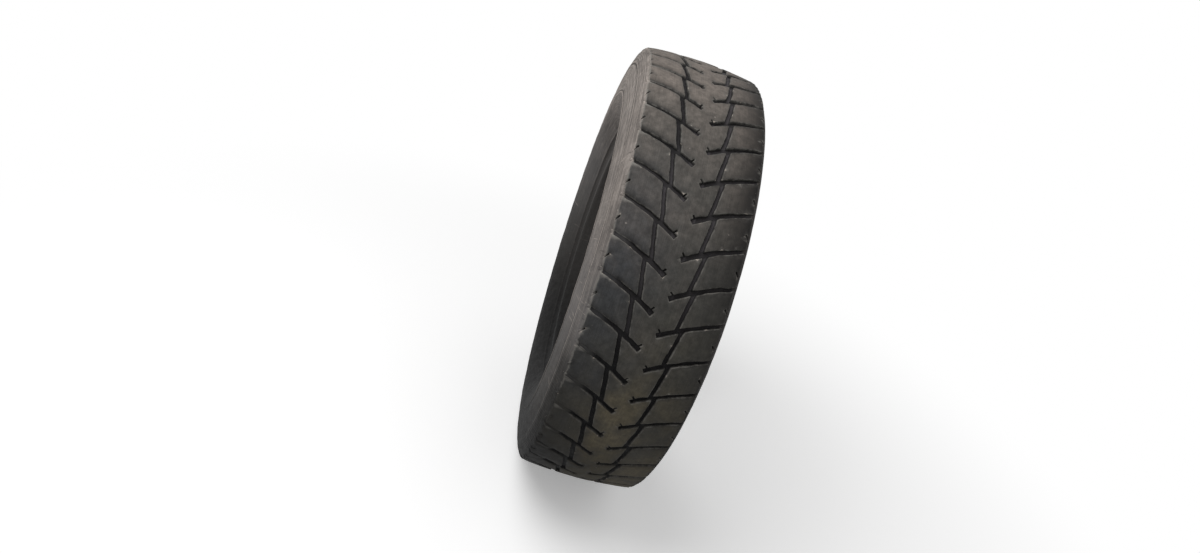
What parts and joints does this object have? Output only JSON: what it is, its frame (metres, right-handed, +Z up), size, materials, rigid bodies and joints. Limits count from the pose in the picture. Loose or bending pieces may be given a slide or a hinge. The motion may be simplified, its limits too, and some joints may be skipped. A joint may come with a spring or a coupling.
{
  "type": "worn truck tyre",
  "caption": "Worn tubeless truck tyre with a directional V tread, two tapered beads for a drop-centre rim, standing upright on its tread.",
  "frame": {"origin": "centre of the tyre, on the spin axis and in the middle plane of the tread", "axes": "+Y along the spin axis, +Z up with the tyre standing on its tread, +X along the direction it would roll"},
  "size_m": [1.06, 0.312, 1.058],
  "materials": {
    "tyre": "matte"
  },
  "bodies": {
    "root": {"tyre": "tyre"}
  },
  "joints": []
}
